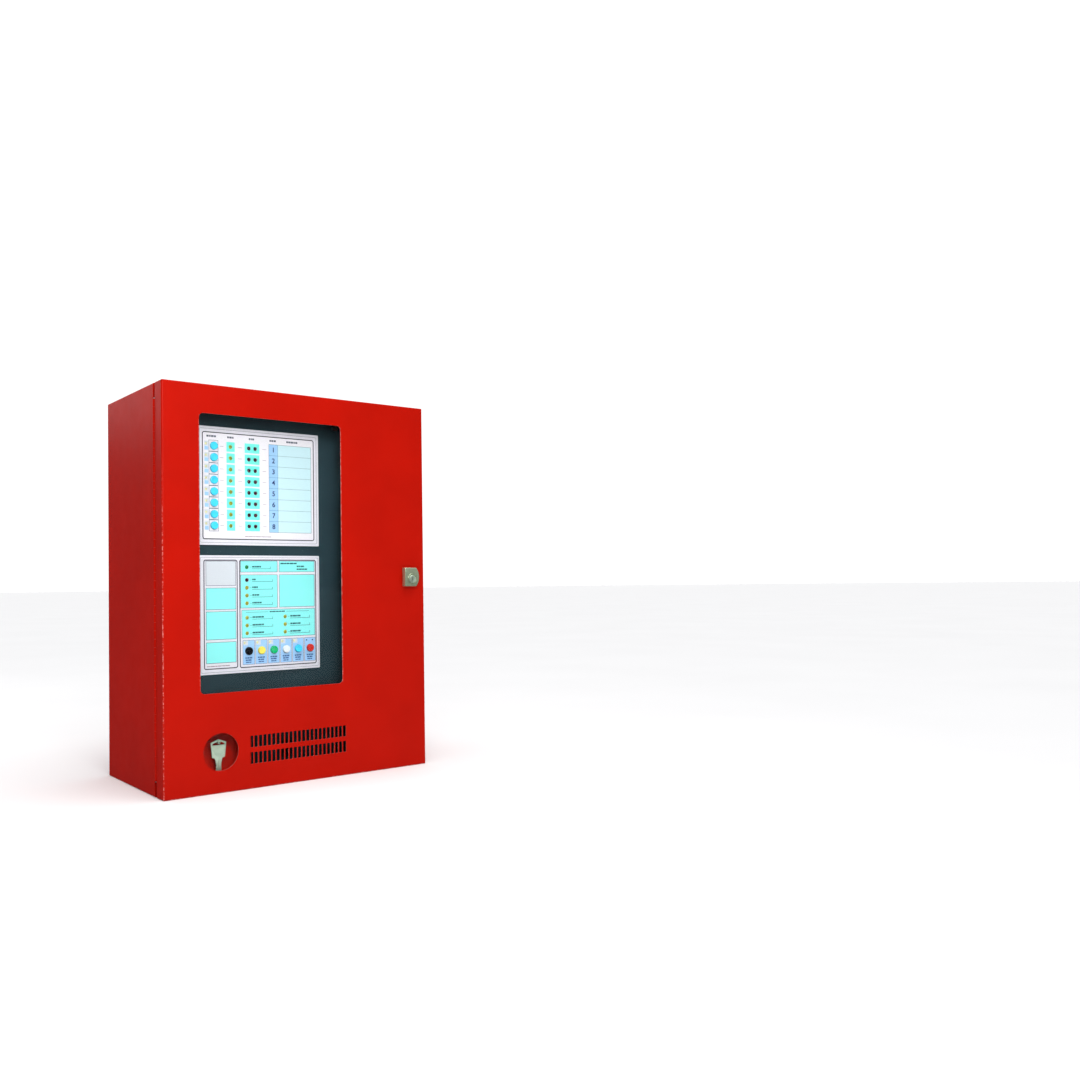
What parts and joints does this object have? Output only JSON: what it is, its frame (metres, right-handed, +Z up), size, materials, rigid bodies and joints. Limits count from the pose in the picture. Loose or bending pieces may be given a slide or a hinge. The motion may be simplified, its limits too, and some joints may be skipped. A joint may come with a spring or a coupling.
{
  "type": "fire alarm control panel",
  "caption": "Wall-mounted fire alarm control panel: folded steel cabinet, lockable hinged door, clear window, zone and control modules with push buttons, vents and a spare key behind glass.",
  "frame": {"origin": "middle of the four wall fixings, on the wall plane", "axes": "+Z up, -Y out of the wall through the door, +X towards the lock side"},
  "size_m": [0.3815, 0.2091, 0.5037],
  "materials": {
    "red_paint": "gloss",
    "zinc_steel": "satin",
    "chrome": "satin",
    "nickel_brass": "worn satin",
    "yellow_brass": "satin",
    "black_foam": "matte",
    "clear_pane": "clear",
    "key_glass": "clear",
    "charcoal_paint": "satin",
    "black_plastic": "matte",
    "overlay_sheet": "printed, matte",
    "board_green": "solder mask",
    "button_blue": "gloss",
    "button_black": "gloss",
    "button_yellow": "gloss",
    "button_green": "gloss",
    "button_white": "gloss",
    "button_red": "gloss",
    "lamp_yellow": "tinted lens",
    "lamp_red": "tinted lens",
    "lamp_green": "tinted lens",
    "lamp_cream": "tinted lens",
    "terminal_green": "matte",
    "relay_blue": "gloss",
    "capacitor_blue": "gloss",
    "ribbon_grey": "matte",
    "laminated_steel": "varnished",
    "battery_case": "matte",
    "lead_rubber": "satin"
  },
  "bodies": {
    "panel": {"cabinet": "red_paint", "gland_plate": "red_paint", "plate_screws": "zinc_steel", "entry_plugs": "black_plastic", "earth_stud": "yellow_brass", "hinge_cabinet_leaf": "red_paint", "hinge_pin": "zinc_steel", "inner_plate": "charcoal_paint", "inner_plate_brackets": "red_paint", "zone_faceplate": "overlay_sheet", "zone_board": "board_green", "control_faceplate": "overlay_sheet", "control_board": "board_green", "push_switches": "black_plastic", "yellow_leds": "lamp_yellow", "red_leds": "lamp_red", "green_led": "lamp_green", "button_leds": "lamp_cream", "standoffs": "zinc_steel", "board_nuts": "zinc_steel", "ribbon_cable": "ribbon_grey", "main_board": "board_green", "terminal_blocks": "terminal_green", "relays": "relay_blue", "capacitors": "capacitor_blue", "transformer": "laminated_steel", "buzzer": "black_plastic", "batteries": "battery_case", "battery_strap": "zinc_steel", "battery_leads": "lead_rubber"},
    "door": {"door": "red_paint", "hinge_door_leaf": "red_paint", "door_gasket": "black_foam", "door_nuts": "zinc_steel", "window_pane": "clear_pane", "window_retainer": "black_plastic", "lock_body": "chrome", "lock_nut": "zinc_steel", "key_glass": "key_glass", "key_glass_seal": "black_foam", "key_pocket": "red_paint", "key_hook": "zinc_steel"},
    "lock": {"lock_plug": "nickel_brass", "lock_cam": "zinc_steel", "lock_cam_screw": "zinc_steel"},
    "spare_key": {"spare_key": "nickel_brass"},
    "zone_button_1": {"zone_button_1": "button_blue"},
    "zone_button_2": {"zone_button_2": "button_blue"},
    "zone_button_3": {"zone_button_3": "button_blue"},
    "zone_button_4": {"zone_button_4": "button_blue"},
    "zone_button_5": {"zone_button_5": "button_blue"},
    "zone_button_6": {"zone_button_6": "button_blue"},
    "zone_button_7": {"zone_button_7": "button_blue"},
    "zone_button_8": {"zone_button_8": "button_blue"},
    "black_button": {"black_button": "button_black"},
    "yellow_button": {"yellow_button": "button_yellow"},
    "green_button": {"green_button": "button_green"},
    "white_button": {"white_button": "button_white"},
    "blue_button": {"blue_button": "button_blue"},
    "red_button": {"red_button": "button_red"}
  },
  "joints": [
    {"name": "door_hinge", "type": "hinge", "parent": "panel", "child": "door", "pos_m": [-0.189, -0.175, 0], "axis": [0, 0, -1], "range_deg": [0, 130]},
    {"name": "lock_turn", "type": "hinge", "parent": "door", "child": "lock", "pos_m": [0.165, -0.2, 0.009], "axis": [0, -1, 0], "range_deg": [0, 90]},
    {"name": "key_swing", "type": "hinge", "parent": "door", "child": "spare_key", "pos_m": [-0.116, -0.1888, -0.1895], "axis": [0, 1, 0], "range_deg": [-12, 12]},
    {"name": "zone_button_1_push", "type": "slide", "parent": "panel", "child": "zone_button_1", "axis": [0, 1, 0], "range_m": [0, 0.002], "stiffness_N_per_m": 400, "springref_m": -0.001},
    {"name": "zone_button_2_push", "type": "slide", "parent": "panel", "child": "zone_button_2", "axis": [0, 1, 0], "range_m": [0, 0.002], "stiffness_N_per_m": 400, "springref_m": -0.001},
    {"name": "zone_button_3_push", "type": "slide", "parent": "panel", "child": "zone_button_3", "axis": [0, 1, 0], "range_m": [0, 0.002], "stiffness_N_per_m": 400, "springref_m": -0.001},
    {"name": "zone_button_4_push", "type": "slide", "parent": "panel", "child": "zone_button_4", "axis": [0, 1, 0], "range_m": [0, 0.002], "stiffness_N_per_m": 400, "springref_m": -0.001},
    {"name": "zone_button_5_push", "type": "slide", "parent": "panel", "child": "zone_button_5", "axis": [0, 1, 0], "range_m": [0, 0.002], "stiffness_N_per_m": 400, "springref_m": -0.001},
    {"name": "zone_button_6_push", "type": "slide", "parent": "panel", "child": "zone_button_6", "axis": [0, 1, 0], "range_m": [0, 0.002], "stiffness_N_per_m": 400, "springref_m": -0.001},
    {"name": "zone_button_7_push", "type": "slide", "parent": "panel", "child": "zone_button_7", "axis": [0, 1, 0], "range_m": [0, 0.002], "stiffness_N_per_m": 400, "springref_m": -0.001},
    {"name": "zone_button_8_push", "type": "slide", "parent": "panel", "child": "zone_button_8", "axis": [0, 1, 0], "range_m": [0, 0.002], "stiffness_N_per_m": 400, "springref_m": -0.001},
    {"name": "black_button_push", "type": "slide", "parent": "panel", "child": "black_button", "axis": [0, 1, 0], "range_m": [0, 0.002], "stiffness_N_per_m": 400, "springref_m": -0.001},
    {"name": "yellow_button_push", "type": "slide", "parent": "panel", "child": "yellow_button", "axis": [0, 1, 0], "range_m": [0, 0.002], "stiffness_N_per_m": 400, "springref_m": -0.001},
    {"name": "green_button_push", "type": "slide", "parent": "panel", "child": "green_button", "axis": [0, 1, 0], "range_m": [0, 0.002], "stiffness_N_per_m": 400, "springref_m": -0.001},
    {"name": "white_button_push", "type": "slide", "parent": "panel", "child": "white_button", "axis": [0, 1, 0], "range_m": [0, 0.002], "stiffness_N_per_m": 400, "springref_m": -0.001},
    {"name": "blue_button_push", "type": "slide", "parent": "panel", "child": "blue_button", "axis": [0, 1, 0], "range_m": [0, 0.002], "stiffness_N_per_m": 400, "springref_m": -0.001},
    {"name": "red_button_push", "type": "slide", "parent": "panel", "child": "red_button", "axis": [0, 1, 0], "range_m": [0, 0.002], "stiffness_N_per_m": 400, "springref_m": -0.001}
  ]
}
